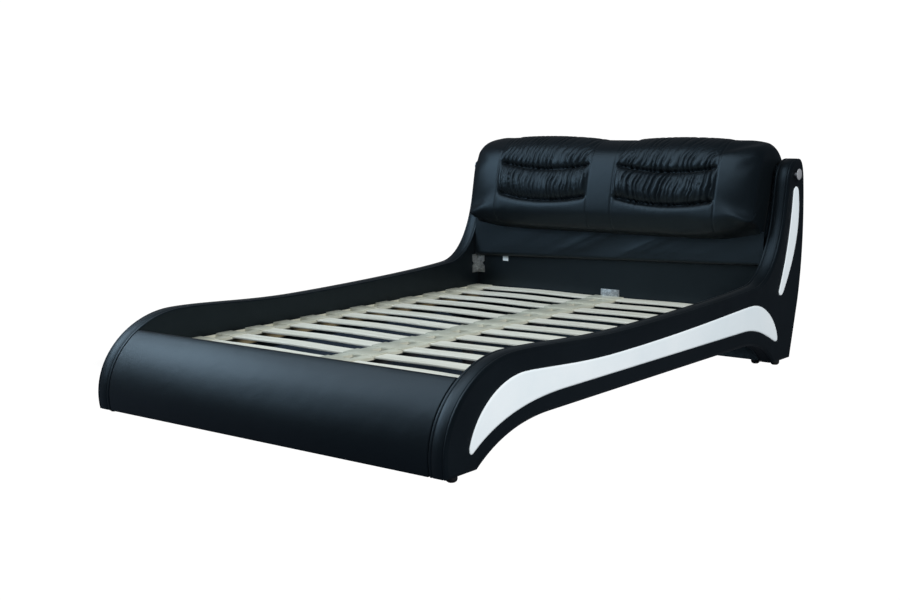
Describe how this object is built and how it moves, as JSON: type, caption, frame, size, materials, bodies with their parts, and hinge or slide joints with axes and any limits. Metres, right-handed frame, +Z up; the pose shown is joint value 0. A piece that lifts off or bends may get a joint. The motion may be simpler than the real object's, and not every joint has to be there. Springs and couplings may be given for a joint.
{
  "type": "sleigh bed",
  "caption": "Upholstered low sleigh bed: rolled foot end, scooped side panels rising into wings, padded headboard with gathered headrests, and a slatted base.",
  "frame": {"origin": "on the floor, under the middle of the overall size of the bed", "axes": "+Y to the head end, +X to the right-hand side seen from the foot end, +Z up"},
  "size_m": [1.7446, 2.5059, 0.97],
  "materials": {
    "black_leatherette": "smooth semi-gloss black coated fabric",
    "white_leatherette": "smooth satin cold-white coated fabric",
    "lining_cloth": "thin black non-woven lining",
    "birch": "pale sanded birch plywood with a clear foil",
    "softwood": "planed unfinished pine",
    "holder_plastic": "moulded beige plastic",
    "black_plastic": "matt black plastic",
    "black_steel": "satin black powder coat",
    "zinc_steel": "bright zinc-plated pressed sheet",
    "chrome": "polished chrome"
  },
  "bodies": {
    "bed": {"side_panel_right": "black_leatherette", "side_panel_left": "black_leatherette", "long_inlay_right": "white_leatherette", "long_inlay_left": "white_leatherette", "blade_inlay_right": "white_leatherette", "blade_inlay_left": "white_leatherette", "footboard": "black_leatherette", "headboard_frame": "black_leatherette", "headboard_back": "lining_cloth", "headboard_pad": "black_leatherette", "headrest_right": "black_leatherette", "headrest_left": "black_leatherette", "slat_01_right": "birch", "slat_01_left": "birch", "slat_02_right": "birch", "slat_02_left": "birch", "slat_03_right": "birch", "slat_03_left": "birch", "slat_04_right": "birch", "slat_04_left": "birch", "slat_05_right": "birch", "slat_05_left": "birch", "slat_06_right": "birch", "slat_06_left": "birch", "slat_07_right": "birch", "slat_07_left": "birch", "slat_08_right": "birch", "slat_08_left": "birch", "slat_09_right": "birch", "slat_09_left": "birch", "slat_10_right": "birch", "slat_10_left": "birch", "slat_11_right": "birch", "slat_11_left": "birch", "slat_12_right": "birch", "slat_12_left": "birch", "slat_13_right": "birch", "slat_13_left": "birch", "slat_holder_centre": "holder_plastic", "slat_holder_right": "holder_plastic", "slat_holder_left": "holder_plastic", "ledger_right": "softwood", "ledger_left": "softwood", "centre_beam": "black_steel", "centre_leg": "black_steel", "corner_bracket_head_right": "zinc_steel", "corner_bracket_head_left": "zinc_steel", "corner_bracket_foot_right": "zinc_steel", "corner_bracket_foot_left": "zinc_steel", "beam_bracket_head": "zinc_steel", "beam_bracket_foot": "zinc_steel", "glide_foot_right": "black_plastic", "glide_foot_left": "black_plastic", "glide_head_right": "black_plastic", "glide_head_left": "black_plastic", "glide_headboard_right": "black_plastic", "glide_headboard_left": "black_plastic", "wing_knob_right": "chrome", "wing_knob_left": "chrome"},
    "levelling_foot": {"centre_leg_foot": "black_plastic"}
  },
  "joints": [
    {"name": "levelling_foot_slide", "type": "slide", "parent": "bed", "child": "levelling_foot", "axis": [0, 0, 1], "range_m": [0, 0.012]}
  ]
}
